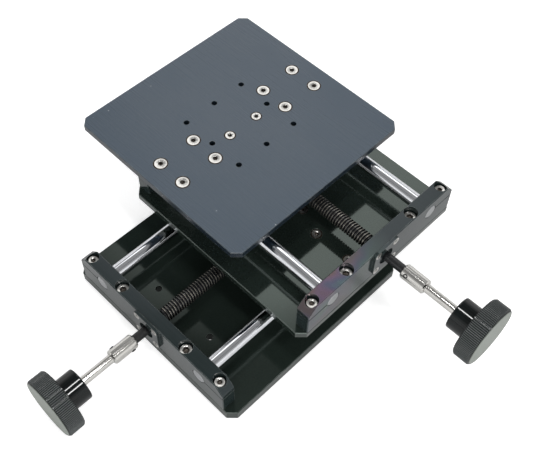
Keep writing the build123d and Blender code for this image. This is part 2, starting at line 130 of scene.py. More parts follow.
def new_group(name: str, inputs: dict, outputs: dict) -> tuple[Graph, Any, Any]:
    """Start a node group with named inputs and outputs. It makes geometry where it is given some.

    Args:
        name: The group's name.
        inputs: The socket's first value, or its kind where it has none, by the input's name.
        outputs: The kind of socket, by the output's name.

    Returns:
        The group's graph, what it is given, by the input's name, and its output node.
    """
    tree = bpy.data.node_groups.new(name, "GeometryNodeTree" if "Geometry" in inputs else "ShaderNodeTree")
    for label, value in inputs.items():
        socket_kind = SOCKETS.get(type(value), value)
        socket = tree.interface.new_socket(name=label, in_out="INPUT", socket_type=f"NodeSocket{socket_kind}")
        if socket_kind != value:
            socket.default_value = value
    for label, socket_kind in outputs.items():
        tree.interface.new_socket(name=label, in_out="OUTPUT", socket_type=f"NodeSocket{socket_kind}")
    graph = Graph(tree)
    return graph, graph.add("NodeGroupInput").outputs, graph.add("NodeGroupOutput")


# Shared effects


def brushed_group() -> bpy.types.NodeTree:
    """Make the fine lines that a belt or a lathe leaves on metal.

    Returns:
        A group with the lines' mask and their normal.
    """
    inputs = {"Vector": "Vector", "Fineness": 900.0, "Depth": 0.1}
    outputs = {"Mask": "Float", "Normal": "Vector"}
    graph, given, end = new_group("brushed_lines", inputs, outputs)
    noise = {"Vector": given["Vector"], "Scale": given["Fineness"], "Detail": 3.0, "Roughness": 0.6}
    fine = graph.add("ShaderNodeTexNoise", noise)
    mask = graph.spread(fine.outputs[0], 0.32, 0.68, 0.0, 1.0)
    bump = graph.add("ShaderNodeBump", {"Strength": given["Depth"], "Distance": LINE_DEPTH, "Height": mask})
    graph.feed(end, {"Mask": mask, "Normal": bump.outputs[0]})
    return graph.tree


def cloud_group() -> bpy.types.NodeTree:
    """Make the soft, uneven tone of a dyed or plated surface.

    Returns:
        A group with the tone's mask.
    """
    inputs = {"Vector": "Vector", "Size": 20.0, "Contrast": CLOUD_CONTRAST}
    graph, given, end = new_group("cloudy_tone", inputs, {"Mask": "Float"})
    noise = {"Vector": given["Vector"], "Scale": given["Size"], "Detail": 4.0, "Roughness": 0.55}
    wide = graph.add("ShaderNodeTexNoise", noise)
    centred = graph.math("SUBTRACT", wide.outputs[0], 0.5)
    scaled = graph.math("MULTIPLY", centred, given["Contrast"])
    graph.feed(end, {"Mask": graph.math("ADD", scaled, 0.5)})
    return graph.tree


def dust_group() -> bpy.types.NodeTree:
    """Make scattered specks of dust.

    Returns:
        A group with the specks' mask.
    """
    inputs = {"Vector": "Vector", "Spacing": 90.0, "Speck": 0.03, "Share": 0.08}
    graph, given, end = new_group("dust_specks", inputs, {"Mask": "Float"})
    cells = graph.add("ShaderNodeTexVoronoi", {"Vector": given["Vector"], "Scale": given["Spacing"]})
    near = graph.math("LESS_THAN", cells.outputs["Distance"], given["Speck"])
    pick = graph.add("ShaderNodeSeparateColor", {0: cells.outputs["Color"]})
    few = graph.math("LESS_THAN", pick.outputs[0], given["Share"])
    graph.feed(end, {"Mask": graph.math("MULTIPLY", near, few)})
    return graph.tree


def painted_edge_highlight_group() -> bpy.types.NodeTree:
    """Make a thin pale line painted along every edge, a painted edge highlight broken into patches.

    Returns:
        A group with the line's mask.
    """
    inputs = {"Vector": "Vector", "Width": 0.0004, "Patchiness": 120.0}
    graph, given, end = new_group("painted_edge_highlight", inputs, {"Mask": "Float"})
    soft = graph.add("ShaderNodeBevel", {"Radius": given["Width"]}, samples=4)
    plain = graph.add("ShaderNodeNewGeometry")
    normals = {0: soft.outputs[0], 1: plain.outputs["Normal"]}
    same = graph.add("ShaderNodeVectorMath", normals, operation="DOT_PRODUCT")
    line = graph.spread(same.outputs["Value"], 0.995, 0.93, 0.0, 1.0)
    spots = {"Vector": given["Vector"], "Scale": given["Patchiness"], "Detail": 2.0}
    patches = graph.add("ShaderNodeTexNoise", spots)
    kept = graph.spread(patches.outputs[0], 0.4, 0.65, 0.25, 1.0)
    graph.feed(end, {"Mask": graph.math("MULTIPLY", line, kept)})
    return graph.tree


def oxide_group() -> bpy.types.NodeTree:
    """Make the faint rainbow that a thin oxide film has round one place.

    Returns:
        A group with the film's colour and its mask.
    """
    inputs = {"Vector": "Vector", "Place": "Vector", "Reach": 0.03, "Plain": (1.0, 1.0, 1.0, 1.0)}
    outputs = {"Color": "Color", "Mask": "Float"}
    graph, given, end = new_group("oxide_film", inputs, outputs)
    ends = {0: given["Vector"], 1: given["Place"]}
    away = graph.add("ShaderNodeVectorMath", ends, operation="DISTANCE")
    share = graph.math("DIVIDE", away.outputs["Value"], given["Reach"])
    near = graph.spread(share, 0.2, 1.0, 1.0, 0.0)
    wave = graph.add("ShaderNodeTexNoise", {"Vector": given["Vector"], "Scale": 55.0, "Detail": 1.0})
    hue = graph.spread(wave.outputs[0], 0.36, 0.64, 0.40, 0.98)
    film = graph.add("ShaderNodeCombineColor", {0: hue, 1: 0.38, 2: 1.0}, mode="HSV")
    graph.feed(end, {"Color": graph.blend(near, given["Plain"], film.outputs[0]), "Mask": near})
    return graph.tree


@dataclass
class Effects:
    """The shared effects, each built once."""

    brushed: bpy.types.NodeTree = field(default_factory=brushed_group)
    cloud: bpy.types.NodeTree = field(default_factory=cloud_group)
    dust: bpy.types.NodeTree = field(default_factory=dust_group)
    edge_highlight: bpy.types.NodeTree = field(default_factory=painted_edge_highlight_group)
    oxide: bpy.types.NodeTree = field(default_factory=oxide_group)


def start_material(name: str) -> tuple[Graph, bpy.types.Node, bpy.types.Node, bpy.types.Material]:
    """Start a material.

    Args:
        name: The material's name.

    Returns:
        Its graph, its shader, its coordinates' node and the material.
    """
    material = bpy.data.materials.new(name)
    material.use_nodes = True
    graph = Graph(material.node_tree)
    return graph, graph.tree.nodes["Principled BSDF"], graph.add("ShaderNodeTexCoord"), material


# Finishes


@dataclass(frozen=True)
class Anodised:
    """Dyed aluminium: a brushed, slightly cloudy tone with a painted highlight along its edges, side faces painted
    darker as shade where sides is below 1, and a little dust.
    """

    name: str
    tone: Tone
    pale: Tone
    # Pale tone of the painted edge highlight.
    edge_highlight: Tone = (0.20, 0.22, 0.21)
    lines: Vector = field(default_factory=lambda: Vector((1.0, 1.0, 1.0)))
    tint: Tone = (1.0, 1.0, 1.0)
    rough: float = 0.25
    gloss: float = 0.8
    depth: float = 0.10
    low_gloss: float = 0.0
    # How much of its tone a side face keeps; below 1, side faces are painted darker as shade.
    sides: float = 1.0
    film: float = 0.0
    film_place: Tone = (0.0755, 0.0, 0.070)
    film_gloss: float = 0.6
    cloud_size: float = 14.0
    low: float = 0.012
    high: float = 0.030
    dusty: float = 0.05
    contrast: float = 0.5

    def material(self, effects: Effects) -> bpy.types.Material:
        """Build the finish.

        Args:
            effects: The shared effects.

        Returns:
            The material.
        """
        graph, shader, coordinates, made = start_material(self.name)
        plain = coordinates.outputs["Object"]
        where = graph.add("ShaderNodeMapping", {"Vector": plain, "Scale": self.lines})
        lines = graph.use(effects.brushed, {"Vector": where.outputs[0], "Depth": self.depth})
        cloud = graph.use(effects.cloud, {"Vector": plain, "Size": self.cloud_size})
        dust = graph.use(effects.dust, {"Vector": plain, "Share": self.dusty})
        edge_highlight = graph.use(effects.edge_highlight, {"Vector": plain})
        fine = graph.math("MULTIPLY", lines.outputs["Mask"], self.contrast)
        wide = graph.math("MULTIPLY", cloud.outputs["Mask"], 1.0 - self.contrast)
        amount = graph.math("ADD", fine, wide)
        base = graph.blend(amount, self.tone, self.pale)
        # Painted shade: faces that do not point up or down are blended towards black, by 1 - sides.
        facing = graph.add("ShaderNodeSeparateXYZ", {0: coordinates.outputs["Normal"]})
        level = graph.math("ABSOLUTE", facing.outputs["Z"])
        shade = graph.spread(level, 0.5, 0.9, 1.0 - self.sides, 0.0)
        cut = graph.blend(shade, base, BLACK)
        # Painted highlight: a pale line along every edge, in patches.
        edged = graph.blend(edge_highlight.outputs["Mask"], cut, self.edge_highlight)
        colour = graph.blend(dust.outputs["Mask"], edged, DUST_TONE)
        rough = graph.spread(amount, 0.2, 0.8, self.rough * 0.8, self.rough * 1.2)
        height = graph.add("ShaderNodeSeparateXYZ", {0: plain}).outputs["Z"]
        gloss = graph.spread(height, self.low, self.high, self.low_gloss or self.gloss, self.gloss)
        place = {"Vector": plain, "Place": self.film_place, "Reach": max(self.film, MM), "Plain": (*self.tint, 1.0)}
        film = graph.use(effects.oxide, place)
        shine = graph.math("MULTIPLY", film.outputs["Mask"], self.film_gloss if self.film else 0.0)
        gloss = graph.math("ADD", gloss, shine)
        graph.feed(shader, {"Base Color": colour, "Roughness": rough, "Normal": lines.outputs["Normal"]})
        graph.feed(shader, {"Specular IOR Level": gloss, "Specular Tint": film.outputs["Color"]})
        return made


@dataclass(frozen=True)
class Metal:
    """Bare, plated or blackened metal, ground or turned, with faint stains. Points marked sunk take the deep tone and
    go matt: painted shade in screw sockets, a painted highlight on knob rib crests.
    """

    name: str
    tone: Tone
    stain: Tone
    fineness: float = 700.0
    cloud_size: float = 60.0
    rough: float = 0.18
    depth: float = 0.05
    metal: float = 1.0
    gloss: float = 0.5
    # Tone of marked points: painted shade on screws, a pale painted highlight on knob ribs, darker shaft ends.
    deep: Tone = (0.030, 0.018, 0.010)
    matt: float = 0.45

    def material(self, effects: Effects) -> bpy.types.Material:
        """Build the finish.

        Args:
            effects: The shared effects.

        Returns:
            The material.
        """
        graph, shader, coordinates, made = start_material(self.name)
        where = coordinates.outputs["Object"]
        lines = graph.use(effects.brushed, {"Vector": where, "Fineness": self.fineness, "Depth": self.depth})
        cloud = graph.use(effects.cloud, {"Vector": where, "Size": self.cloud_size})
        stained = graph.blend(cloud.outputs["Mask"], self.tone, self.stain)
        # The sunk mark paints light and shade: it moves screw sockets, gaps and rib crests towards the deep tone and
        # makes them matt.
        sunk = graph.add("ShaderNodeAttribute", attribute_name="sunk").outputs["Fac"]
        colour = graph.blend(sunk, stained, self.deep)
        fine = graph.math("MULTIPLY", lines.outputs["Mask"], 0.5)
        mixed = graph.math("ADD", fine, graph.math("MULTIPLY", cloud.outputs["Mask"], 0.5))
        ground = graph.spread(mixed, 0.1, 0.9, self.rough * 0.85, self.rough * 1.2)
        matt = graph.math("MINIMUM", graph.math("MULTIPLY", sunk, 2.0), self.matt)
        rough = graph.math("MAXIMUM", ground, matt)
        graph.feed(shader, {"Base Color": colour, "Roughness": rough, "Normal": lines.outputs["Normal"]})
        graph.feed(shader, {"Metallic": self.metal, "Specular IOR Level": self.gloss})
        return made


@dataclass(frozen=True)
class Blackened:
    """Blackened steel whose thread crests have been run bright by the nut."""

    name: str
    tone: Tone = (0.012, 0.013, 0.014)
    bright: Tone = (0.32, 0.30, 0.26)
    grain_size: float = 220.0
    grain_contrast: float = 1.4
    rubbed_from: float = 0.93
    gloss: float = 0.6

    def material(self, effects: Effects) -> bpy.types.Material:
        """Build the finish.

        Args:
            effects: The shared effects.

        Returns:
            The material.
        """
        graph, shader, coordinates, made = start_material(self.name)
        crest = graph.add("ShaderNodeAttribute", attribute_name="crest").outputs["Fac"]
        grown = {"Vector": coordinates.outputs["Object"], "Size": self.grain_size, "Contrast": self.grain_contrast}
        grain = graph.use(effects.cloud, grown)
        edge = graph.spread(crest, self.rubbed_from, 1.0, 0.0, 1.0)
        patchy = graph.spread(grain.outputs["Mask"], 0.35, 0.65, 0.15, 1.0)
        rubbed = graph.math("MULTIPLY", edge, patchy)
        colour = graph.blend(rubbed, self.tone, self.bright)
        rough = graph.spread(rubbed, 0.0, 1.0, 0.14, 0.28)
        inputs = {"Base Color": colour, "Metallic": rubbed, "Roughness": rough, "Specular IOR Level": self.gloss}
        graph.feed(shader, inputs)
        return made


@dataclass
class Finishes:
    """Every finish on the stage, by the record's slot."""

    effects: Effects = field(default_factory=Effects)
    made: dict[str, bpy.types.Material] = field(default_factory=dict)

    def build(self) -> None:
        """Make each slot's material."""
        along_x = Vector((0.04, 1.0, 1.0))
        green = (0.86, 1.0, 0.92)
        kinds = [
            # The table's side faces are painted darker as shade (sides=0.3).
            Anodised(
                "table_anodised", (0.032, 0.055, 0.082), (0.044, 0.071, 0.103), lines=along_x, rough=0.28, gloss=0.5,
                dusty=0.6, contrast=0.35, sides=0.3,
            ),
            Anodised(
                "plate_anodised", (0.012, 0.018, 0.015), (0.019, 0.027, 0.023), tint=green, rough=0.08, depth=0.01,
                gloss=0.65, low_gloss=0.32,
            ),
            Anodised(
                "block_anodised", (0.013, 0.021, 0.021), (0.021, 0.030, 0.030), lines=along_x, tint=(0.88, 0.92, 1.0),
                rough=0.12, depth=0.04, gloss=0.33, film=0.058,
            ),
            Metal(
                "shaft_steel", (0.80, 0.81, 0.83), (0.70, 0.72, 0.76), rough=0.09, depth=0.003, deep=(0.10, 0.10, 0.09)
            ),
            Blackened("black_steel"),
            Metal("bright_steel", (0.74, 0.73, 0.70), (0.60, 0.59, 0.56), rough=0.13, depth=0.001),
            Metal("bearing_steel", (0.86, 0.86, 0.85), (0.70, 0.70, 0.70), rough=0.22),
            Metal("case_aluminium", (0.55, 0.56, 0.57), (0.42, 0.43, 0.44), rough=0.35),
            Metal("cage_polymer", (0.030, 0.030, 0.032), (0.050, 0.050, 0.052), rough=0.50, metal=0.0),
            Metal("nut_bronze", (0.55, 0.36, 0.16), (0.40, 0.25, 0.11), rough=0.30),
            # The knob's deep tone is pale: it is the painted highlight on the rib crests.
            Metal(
                "knob_black", (0.002, 0.004, 0.004), (0.004, 0.007, 0.007), rough=0.06, metal=0.0, depth=0.01,
                gloss=0.35, deep=(0.10, 0.11, 0.11), matt=0.34,
            ),
            Metal("cap_grey", (0.17, 0.195, 0.165), (0.20, 0.225, 0.195), rough=0.35, metal=0.0),
        ]
        for kind in kinds:
            self.made[kind.name] = kind.material(self.effects)

    def dress(self, piece: bpy.types.Object, slot: str) -> None:
        """Put a slot's material on all of a piece."""
        piece.data.materials.clear()
        piece.data.materials.append(self.made[slot])


# Trees that make what repeats or follows a rule


def scatter_tree() -> bpy.types.NodeTree:
    """Make the tree that stands one template on every point.

    Returns:
        A tree whose points carry an outward direction, and whose copies have a random turn.
    """
    inputs = {"Geometry": "Geometry", "Template": "Object", "Seed": 1, "Material": "Material"}
    graph, given, end = new_group("stand_on_points", inputs, {"Geometry": "Geometry"})
    template = graph.add("GeometryNodeObjectInfo", {"Object": given["Template"], "As Instance": True})
    outward = graph.add("GeometryNodeInputNamedAttribute", {"Name": "outward"}, data_type="FLOAT_VECTOR")
    upright = graph.add("FunctionNodeAlignRotationToVector", {"Vector": outward.outputs[0]}, axis="Z")
    draw = {2: 0.0, 3: math.tau, "Seed": given["Seed"]}
    turn = graph.add("FunctionNodeRandomValue", draw, data_type="FLOAT")
    spin = graph.add("FunctionNodeAxisAngleToRotation", {"Axis": (0, 0, 1), "Angle": turn.outputs[1]})
    turns = {"Rotation": upright.outputs[0], "Rotate By": spin.outputs[0]}
    both = graph.add("FunctionNodeRotateRotation", turns, rotation_space="LOCAL")
    stand = {"Points": given["Geometry"], "Instance": template.outputs["Geometry"], "Rotation": both.outputs[0]}
    copies = graph.add("GeometryNodeInstanceOnPoints", stand)
    close_tree(graph, copies.outputs[0], given["Material"], end)
    return graph.tree


def rib_tree() -> bpy.types.NodeTree:
    """Make the tree that stands one rib many times round a circle.

    Returns:
        A tree with the rib, the circle's radius and the number of ribs as its inputs.
    """
    inputs = {"Geometry": "Geometry", "Rib": "Object", "Radius": 0.02, "Count": 100, "Material": "Material"}
    graph, given, end = new_group("ribs_round_a_circle", inputs, {"Geometry": "Geometry"})
    rib = graph.add("GeometryNodeObjectInfo", {"Object": given["Rib"], "As Instance": True})
    circle = graph.add("GeometryNodeMeshCircle", {"Vertices": given["Count"], "Radius": given["Radius"]})
    share = graph.math("DIVIDE", graph.add("GeometryNodeInputIndex").outputs[0], given["Count"])
    angle = graph.math("MULTIPLY", share, math.tau)
    spin = graph.add("FunctionNodeAxisAngleToRotation", {"Axis": (0, 0, 1), "Angle": angle})
    stand = {"Points": circle.outputs[0], "Instance": rib.outputs["Geometry"], "Rotation": spin.outputs[0]}
    copies = graph.add("GeometryNodeInstanceOnPoints", stand)
    close_tree(graph, copies.outputs[0], given["Material"], end)
    return graph.tree


def thread_tree() -> bpy.types.NodeTree:
    """Make the tree that winds a trapezoid thread, closed at both ends.

    Returns:
        A tree with the thread's length, pitch and radii as its inputs. It keeps how near each
        point is to the crest.
    """
    inputs = {
        "Geometry": "Geometry",
        "Length": 0.1,
        "Pitch": 0.002,
        "Crest": 0.005,
        "Root": 0.004,
        "Around": 36,
        "Steps": 8,
        "Material": "Material",
    }
    graph, given, end = new_group("wound_thread", inputs, {"Geometry": "Geometry"})
    turns = graph.math("CEIL", graph.math("DIVIDE", given["Length"], given["Pitch"]))
    rows = graph.math("MULTIPLY", graph.math("ADD", turns, 1.0), given["Steps"])
    columns = graph.math("ADD", given["Around"], 1.0)
    grid = graph.add("GeometryNodeMeshGrid", {"Vertices X": graph.math("ADD", rows, 3.0), "Vertices Y": columns})
    index = graph.add("GeometryNodeInputIndex").outputs[0]
    row = graph.math("FLOOR", graph.math("DIVIDE", graph.math("ADD", index, 0.5), columns))
    column = graph.math("SUBTRACT", index, graph.math("MULTIPLY", row, columns))
    inner = graph.math("MINIMUM", graph.math("MAXIMUM", graph.math("SUBTRACT", row, 1.0), 0.0), rows)
    phase = graph.math("DIVIDE", inner, given["Steps"])
    share = graph.math("DIVIDE", column, given["Around"])
    wound = graph.math("MULTIPLY", graph.math("SUBTRACT", phase, share), given["Pitch"])
    along = graph.math("MINIMUM", graph.math("MAXIMUM", wound, 0.0), given["Length"])
    wave = graph.math("ABSOLUTE", graph.math("SUBTRACT", graph.math("MULTIPLY", graph.math("FRACT", phase), 2.0), 1.0))
    form = graph.spread(wave, 0.25, 0.75, 0.0, 1.0)
    left = graph.math("DIVIDE", along, given["Pitch"])
    right = graph.math("DIVIDE", graph.math("SUBTRACT", given["Length"], along), given["Pitch"])
    fade = graph.math("MINIMUM", graph.math("MINIMUM", left, right), 1.0)
    height = graph.math("MULTIPLY", form, fade)
    rise = graph.math("MULTIPLY", height, graph.math("SUBTRACT", given["Crest"], given["Root"]))
    after = graph.math("GREATER_THAN", row, 0.5)
    before = graph.math("LESS_THAN", row, graph.math("ADD", rows, 1.5))
    radius = graph.math("MULTIPLY", graph.math("ADD", given["Root"], rise), graph.math("MULTIPLY", after, before))
    angle = graph.math("MULTIPLY", share, math.tau)
    across = graph.math("MULTIPLY", radius, graph.math("COSINE", angle))
    upward = graph.math("MULTIPLY", radius, graph.math("SINE", angle))
    place = graph.add("ShaderNodeCombineXYZ", {"X": across, "Y": upward, "Z": along})
    marks = {"Geometry": grid.outputs["Mesh"], "Name": "crest", "Value": height}
    kept = graph.add("GeometryNodeStoreNamedAttribute", marks, data_type="FLOAT", domain="POINT")
    wrapped = graph.add("GeometryNodeSetPosition", {"Geometry": kept.outputs[0], "Position": place.outputs[0]})
    merged = graph.add("GeometryNodeMergeByDistance", {"Geometry": wrapped.outputs[0], "Distance": 0.002 * MM})
    close_tree(graph, merged.outputs[0], given["Material"], end)
    return graph.tree


def close_tree(graph: Graph, shape: bpy.types.NodeSocket, material: bpy.types.NodeSocket, end: Any) -> None:
    """End a tree with real geometry in the piece's material.

    Args:
        graph: The tree's graph.
        shape: The socket with the geometry.
        material: The socket with the material.
        end: The tree's output node.
    """
    real = graph.add("GeometryNodeRealizeInstances", {"Geometry": shape})
    inputs = {"Geometry": real.outputs[0], "Material": material}
    graph.feed(end, {"Geometry": graph.add("GeometryNodeSetMaterial", inputs).outputs[0]})


def placed(name: str, data: Any) -> bpy.types.Object:
    """Make an object of a mesh, a light or a camera, and put it in the scene.

    Args:
        name: The object's name.
        data: What it shows.

    Returns:
        The object.
    """
    made = bpy.data.objects.new(name, data)
    bpy.context.scene.collection.objects.link(made)
    return made


@dataclass
class Trees:
    """The Geometry Nodes trees, each built once."""

    scatter: bpy.types.NodeTree = field(default_factory=scatter_tree)
    ribs: bpy.types.NodeTree = field(default_factory=rib_tree)
    thread: bpy.types.NodeTree = field(default_factory=thread_tree)

    def grow(self, tree: bpy.types.NodeTree, mesh: bpy.types.Mesh, values: dict) -> bpy.types.Mesh:
        """Run a tree on a mesh once and keep the result.

        Args:
            tree: One of the trees.
            mesh: The mesh that it starts from.
            values: The tree's inputs, by their names.

        Returns:
            The finished plain mesh.
        """
        holder = placed("holder", mesh)
        modifier = holder.modifiers.new("rule", "NODES")
        modifier.node_group = tree
        for item in tree.interface.items_tree:
            if item.name in values and item.in_out == "INPUT":
                modifier[item.identifier] = values[item.name]
        seen = bpy.context.evaluated_depsgraph_get()
        result = bpy.data.meshes.new_from_object(holder.evaluated_get(seen))
        bpy.data.objects.remove(holder)
        return result


# Shapes


@dataclass(frozen=True)
class Line:
    """A line that turned pieces share, with its direction towards the knob."""

    origin: Vector
    direction: Vector

    def matrix(self, along: float = 0.0) -> Matrix:
        """Find the place on the line where local z lies along it and local y points up.

        Args:
            along: How far along the line the place is, in metres.

        Returns:
            The matrix from local to the frame's coordinates.
        """
        up = Vector((0, 0, 1))
        axes = Matrix((up.cross(self.direction), up, self.direction)).transposed().to_4x4()
        return Matrix.Translation(self.origin + self.direction * along) @ axes

    def reach(self, node: str) -> tuple[float, float]:
        """Measure where a node starts and ends along the line, in metres."""
        first, last = sorted((corner - self.origin).dot(self.direction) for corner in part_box(node))
        return first, last


def half_height(node: str) -> float:
    """Measure half of a node's height, in millimetres. It is the radius of a turned piece."""
    low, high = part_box(node)
    return (high.z - low.z) / MM / 2


def turned(outline: Outline, sides: int = 96) -> bpy.types.Mesh:
    """Turn an outline about the z axis into a closed mesh.

    Args:
        outline: Points (along, radius) in millimetres. It either starts and ends on the axis, or is a
            closed loop that never touches it.
        sides: The number of points round it.

    Returns:
        The mesh.
    """
    shape = bmesh.new()
    rings = []
    for along, radius in outline:
        turns = [math.tau * k / sides for k in range(sides)] if radius else [0.0]
        reach, height = radius * MM, along * MM
        rings.append([shape.verts.new((reach * math.cos(t), reach * math.sin(t), height)) for t in turns])
    closed_loop = outline[0][1] > 0
    steps = list(zip(rings, rings[1:])) + ([(rings[-1], rings[0])] if closed_loop else [])
    for low, high in steps:
        skin(shape, low, high)
    return finished_mesh(shape, "turned")


def skin(shape: bmesh.types.BMesh, low: list, high: list) -> None:
    """Join two rings of points with faces. A ring of one point makes a cone.

    Args:
        shape: The mesh that the rings are in.
        low: The first ring.
        high: The second ring.
    """
    count = max(len(low), len(high))
    for k in range(count):
        near = [low[k % len(low)], low[(k + 1) % len(low)]]
        far = [high[(k + 1) % len(high)], high[k % len(high)]]
        corners = list(dict.fromkeys(near + far))
        if len(corners) > 2:
            shape.faces.new(corners)


def finished_mesh(shape: bmesh.types.BMesh, name: str) -> bpy.types.Mesh:
    """Turn all faces outwards and keep the shape as a mesh.

    Args:
        shape: The shape, which is used up.
        name: The mesh's name.

    Returns:
        The mesh.
    """
    bmesh.ops.recalc_face_normals(shape, faces=shape.faces)
    mesh = bpy.data.meshes.new(name)
    shape.to_mesh(mesh)
    shape.free()
    return mesh


def joined(meshes: list[bpy.types.Mesh], name: str) -> bpy.types.Mesh:
    """Put several meshes into one.

    Args:
        meshes: The meshes, in place.
        name: The new mesh's name.

    Returns:
        One mesh with all their solids.
    """
    shape = bmesh.new()
    for mesh in meshes:
        shape.from_mesh(mesh)
    return finished_mesh(shape, name)


def mark_sunk(mesh: bpy.types.Mesh, rule: Callable[[Vector], float]) -> None:
    """Keep on each point how far the finish moves it towards its deep tone: painted shade in screw sockets, a painted
    highlight on knob rib crests.

    Args:
        mesh: The mesh to mark.
        rule: The mark for a point, from 0 for its own tone to 1 for the deep tone.
    """
    kept = mesh.attributes.new("sunk", "FLOAT", "POINT")
    kept.data.foreach_set("value", [rule(corner.co) for corner in mesh.vertices])


def solids(node: str) -> list[list[Vector]]:
    """Split a node of the frame into its separate solids.

    Args:
        node: The node's name.

    Returns:
        Each solid's corner points.
    """
    shape = bmesh.new()
    shape.from_mesh(frame["nodes"][node].data)
    bmesh.ops.remove_doubles(shape, verts=shape.verts, dist=0.001 * MM)
    found, seen = [], set()
    for first in shape.verts:
        if first in seen:
            continue
        group, waiting = [], [first]
        seen.add(first)
        while waiting:
            corner = waiting.pop()
            group.append(corner.co.copy())
            for edge in corner.link_edges:
                other = edge.other_vert(corner)
                if other not in seen:
                    seen.add(other)
                    waiting.append(other)
        found.append(group)
    shape.free()
    return found


@dataclass
class Workshop:
    """What every piece is made with: the finishes, the trees and the frame's own lists."""

    finishes: Finishes
    trees: Trees = field(default_factory=Trees)
    smooth_angle: float = math.radians(32)

    def slot_of(self, node: str) -> str:
        """The record's slot of a node."""
        return slots()[node]

    def body_of(self, node: str) -> str:
        """The body that a node belongs to."""
        groups = frame["record"]["behaviour"]["bodies"]
        return next(body for body, nodes in groups.items() if node in nodes)

    def stand_in(self, node: str, mesh: bpy.types.Mesh) -> bpy.types.Object:
        """Put a detailed piece in the place of a node.

        Args:
            node: The node that it replaces.
            mesh: Its mesh, in place.

        Returns:
            The piece.
        """
        piece = placed(f"{node}_detailed", mesh)
        slot = self.slot_of(node)
        mesh.materials.clear()
        mesh.materials.append(self.finishes.made[slot])
        mesh.polygons.foreach_set("use_smooth", [True] * len(mesh.polygons))
        mesh.set_sharp_from_angle(angle=self.smooth_angle)
        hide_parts(node)
        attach(piece, self.body_of(node))
        log.info("made %s: %d faces", piece.name, len(mesh.polygons))
        return piece


# The stage's pieces


@dataclass(frozen=True)
class Screw:
    """One size of socket screw. Its head's top is at height 0. Sizes are in millimetres."""

    node: str
    hold: Hold
    thread: float
    head: float
    key: float
    head_height: float = 0.0
    edge: float = 0.35
    gap: float = 0.9
    dull: float = 0.14
    socket_share: float = 0.5
    socket_edge: float = 0.12
    point: float = 0.4
    sides: int = 48

    def ring(self, shape: bmesh.types.BMesh, radius: float, height: float, hexagon: bool = False) -> list:
        """Add one ring of points to the screw.

        Args:
            shape: The screw's mesh.
            radius: The ring's radius, or half the width across flats of a hexagon.
            height: Its height.
            hexagon: Whether the ring is a hexagon.

        Returns:
            The ring's points.
        """
        if radius == 0:
            return [shape.verts.new((0, 0, height * MM))]
        points = []
        sixth = math.tau / 6
        for k in range(self.sides):
            turn = math.tau * k / self.sides
            from_flat = (turn + sixth / 2) % sixth - sixth / 2
            reach = radius / math.cos(from_flat) if hexagon else radius
            points.append(shape.verts.new((reach * math.cos(turn) * MM, reach * math.sin(turn) * MM, height * MM)))
        return points

    def outline(self, length: float) -> list[tuple[float, float, bool]]:
        """List the rings from the socket's floor over the head to the tip.

        Args:
            length: From the head's top to the tip.

        Returns:
            Radius, height and whether it is a hexagon, for each ring.
        """
        flat = self.key / 2
        rim = flat / math.cos(math.tau / 12) + self.socket_edge
        depth = self.key * self.socket_share + 0.6
        head = self.head / 2
        shank = self.thread / 2
        rings = [(0, -depth - 0.3 * flat, False), (flat, -depth, True), (flat, -0.15, True), (rim, 0, False)]
        if self.hold is Hold.CAP:
            rings += [(head - self.edge, 0, False), (head, -self.edge, False), (head, -self.head_height, False)]
            rings += [(shank, -self.head_height, False)]
        elif self.hold is Hold.FLUSH:
            gap = head - self.gap
            rings += [(gap, 0, False), (gap + 0.05, -0.10, False), (head - 0.02, -0.12, False)]
            rings += [(shank, shank - head, False)]
        else:
            rings += [(shank - 0.2, 0, False), (shank, -0.2, False)]
        rings += [(shank, self.point - length, False), (shank - self.point, -length, False)]
        return rings + [(0, -length, False)]

    def template(self, length: float) -> bpy.types.Object:
        """Make one screw to copy.

        Args:
            length: From the head's top to the tip, in millimetres.

        Returns:
            The screw's object, to be removed after use.
        """
        shape = bmesh.new()
        rings = [self.ring(shape, *row) for row in self.outline(length)]
        for low, high in zip(rings, rings[1:]):
            skin(shape, low, high)
        mesh = finished_mesh(shape, "template")
        mark_sunk(mesh, self.painted_shade)
        return placed("template", mesh)

    def painted_shade(self, corner: Vector) -> float:
        """Tell how much painted shade a point takes: its socket and the gap round a flush head are painted dark, and
        the rest of the screw is a little dulled.

        Args:
            corner: The point, in metres.

        Returns:
            The mark, from 0 to 1.
        """
        # Painted shade: points down in the socket and in the ring round a flush head are marked dark.
        reach = math.hypot(corner.x, corner.y) / MM
        in_socket = reach < self.key / 2 / math.cos(math.tau / 12) + 0.05
        in_gap = self.hold is Hold.FLUSH and reach > self.head / 2 - self.gap + 0.01
        if corner.z > -0.05 * MM or not (in_socket or in_gap):
            return self.dull
        return 1.0 if in_gap else (0.9 if corner.z < -0.5 * MM else self.dull)

    def build(self, shop: Workshop, outward: Vector | None, line: Line | None, seed: int) -> None:
        """Put a detailed screw in the place of each one in the node.

        Args:
            shop: The workshop.
            outward: The way that the heads face, or None where they face away from a line.
            line: The line that set screws face away from.
            seed: The seed of the sockets' turns.
        """
        tops, ways, length = [], [], 0.0
        for corners in solids(self.node):
            middle = sum(corners, Vector()) / len(corners)
            way = outward
            if way is None:
                flat = (middle - line.origin).dot(line.direction)
                way = (middle - line.origin - line.direction * flat).normalized()
            heights = [corner.dot(way) for corner in corners]
            tops.append(middle + way * (max(heights) - middle.dot(way)))
            ways.append(way)
            length = max(heights) - min(heights)
        points = bpy.data.meshes.new("points")
        points.from_pydata(tops, [], [])
        faces = points.attributes.new("outward", "FLOAT_VECTOR", "POINT")
        faces.data.foreach_set("vector", [number for way in ways for number in way])
        template = self.template(length / MM)
        material = shop.finishes.made[shop.slot_of(self.node)]
        values = {"Template": template, "Seed": seed, "Material": material}
        mesh = shop.trees.grow(shop.trees.scatter, points, values)
        bpy.data.objects.remove(template)
        shop.stand_in(self.node, mesh)


